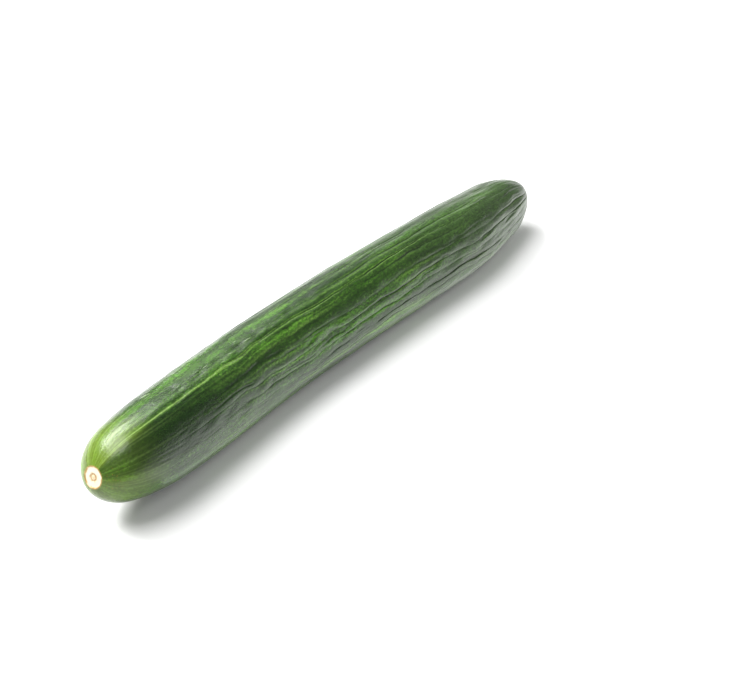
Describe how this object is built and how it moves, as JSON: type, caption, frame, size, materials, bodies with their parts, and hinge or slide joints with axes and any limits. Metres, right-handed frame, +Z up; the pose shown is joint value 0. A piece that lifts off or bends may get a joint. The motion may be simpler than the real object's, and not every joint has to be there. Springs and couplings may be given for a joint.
{
  "type": "cucumber",
  "caption": "Long smooth-skinned cucumber with fine wavy lengthwise ridges, a pale round blossom scar and a short cut stem stub, lying flat.",
  "frame": {"origin": "middle of the footprint, on the surface that the cucumber lies on", "axes": "+X along the fruit from the blossom end to the stem end, +Z up from the flat rest"},
  "size_m": [0.3488, 0.0504, 0.0462],
  "materials": {
    "skin": "waxy green cucumber skin, softly glossy, with darker and paler lengthwise stripes"
  },
  "bodies": {
    "root": {"cucumber": "skin"}
  },
  "joints": []
}
